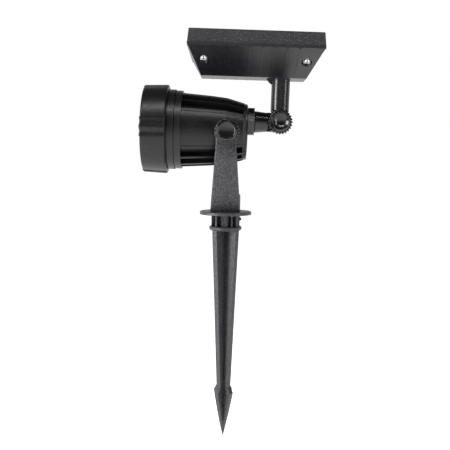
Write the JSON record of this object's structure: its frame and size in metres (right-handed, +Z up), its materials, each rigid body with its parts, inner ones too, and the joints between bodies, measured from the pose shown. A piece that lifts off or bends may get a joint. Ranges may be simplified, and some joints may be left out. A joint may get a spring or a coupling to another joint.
{
  "type": "solar garden spotlight",
  "caption": "Spotlight on a ground spike with a tilting finned lamp head held in a yoke, and a solar panel on a hinged arm behind it.",
  "frame": {"origin": "centre of the underside of the spike's round flange, where it rests on the ground", "axes": "+Z up, out of the ground; the lamp faces -X; the panel's thumb knob is on the -Y side"},
  "size_m": [0.1599, 0.0984, 0.3765],
  "materials": {
    "spike_plastic": "fine moulded grain, charcoal black",
    "yoke_plastic": "fine moulded grain, charcoal black",
    "lamp_plastic": "satin black",
    "bezel_plastic": "satin black",
    "knob_plastic": "semi-gloss black",
    "nut_plastic": "satin black",
    "arm_plastic": "semi-gloss black",
    "post_plastic": "satin black with fine grain",
    "panel_plastic": "fine moulded grain, charcoal black",
    "clear_lens": "clear, polished",
    "panel_glass": "clear, faintly textured",
    "plated_reflector": "vacuum plated",
    "board_laminate": "green solder mask",
    "led_phosphor": "yellow phosphor",
    "component_plastic": "black moulded",
    "spreader_aluminium": "turned",
    "screw_steel": "zinc plated",
    "insert_brass": "turned",
    "washer_rubber": "matt black",
    "seal_rubber": "soft, matt",
    "silicon_cell": "dark blue silicon",
    "backsheet_film": "dark film",
    "battery_can": "sleeved can",
    "holder_plastic": "black moulded"
  },
  "bodies": {
    "stake": {"ground_spike": "spike_plastic", "yoke_bracket": "yoke_plastic"},
    "lamp_head": {"lamp_housing": "lamp_plastic", "bezel_ring": "bezel_plastic", "front_lens": "clear_lens", "lens_seal": "seal_rubber", "reflector_cups": "plated_reflector", "led_board": "board_laminate", "led_chips": "led_phosphor", "heat_spreader": "spreader_aluminium", "board_screws": "screw_steel", "pivot_inserts": "insert_brass", "friction_washers": "washer_rubber", "arm_gasket": "seal_rubber"},
    "near_tilt_knob": {"tilt_knob_near": "knob_plastic", "tilt_screw_near": "screw_steel"},
    "far_tilt_knob": {"tilt_knob_far": "knob_plastic", "tilt_screw_far": "screw_steel"},
    "lock_nut": {"arm_lock_nut": "nut_plastic"},
    "arm": {"panel_arm": "arm_plastic", "arm_retaining_clip": "screw_steel"},
    "panel": {"panel_post": "post_plastic", "post_screws": "screw_steel", "hinge_nut": "screw_steel", "panel_back_shell": "panel_plastic", "panel_frame": "panel_plastic", "solar_backsheet": "backsheet_film", "solar_glass": "panel_glass", "solar_cells": "silicon_cell", "battery_cell": "battery_can", "battery_holder": "holder_plastic", "control_board": "board_laminate", "control_components": "component_plastic", "case_screws": "screw_steel"},
    "hinge_knob": {"panel_knob": "knob_plastic", "panel_screw": "screw_steel"}
  },
  "joints": [
    {"name": "head_tilt", "type": "hinge", "parent": "stake", "child": "lamp_head", "pos_m": [0, 0, 0.0745], "axis": [0, 1, 0], "range_deg": [-30, 60]},
    {"name": "near_knob_turn", "type": "hinge", "parent": "lamp_head", "child": "near_tilt_knob", "pos_m": [0, 0, 0.0745], "axis": [0, 1, 0], "continuous": true},
    {"name": "far_knob_turn", "type": "hinge", "parent": "lamp_head", "child": "far_tilt_knob", "pos_m": [0, 0, 0.0745], "axis": [0, 1, 0], "continuous": true},
    {"name": "lock_nut_turn", "type": "hinge", "parent": "lamp_head", "child": "lock_nut", "pos_m": [0.00025, 0, 0.0864], "axis": [0.9998, 0, -0.0209], "continuous": true},
    {"name": "arm_turn", "type": "hinge", "parent": "lamp_head", "child": "arm", "pos_m": [0.00025, 0, 0.0864], "axis": [0.9998, 0, -0.0209], "range_deg": [-45, 45]},
    {"name": "panel_tilt", "type": "hinge", "parent": "arm", "child": "panel", "pos_m": [0.04844, 0, 0.08539], "axis": [0, 1, 0], "range_deg": [-6, 75]},
    {"name": "hinge_knob_turn", "type": "hinge", "parent": "panel", "child": "hinge_knob", "pos_m": [0.04844, 0, 0.08539], "axis": [0, 1, 0], "continuous": true}
  ]
}
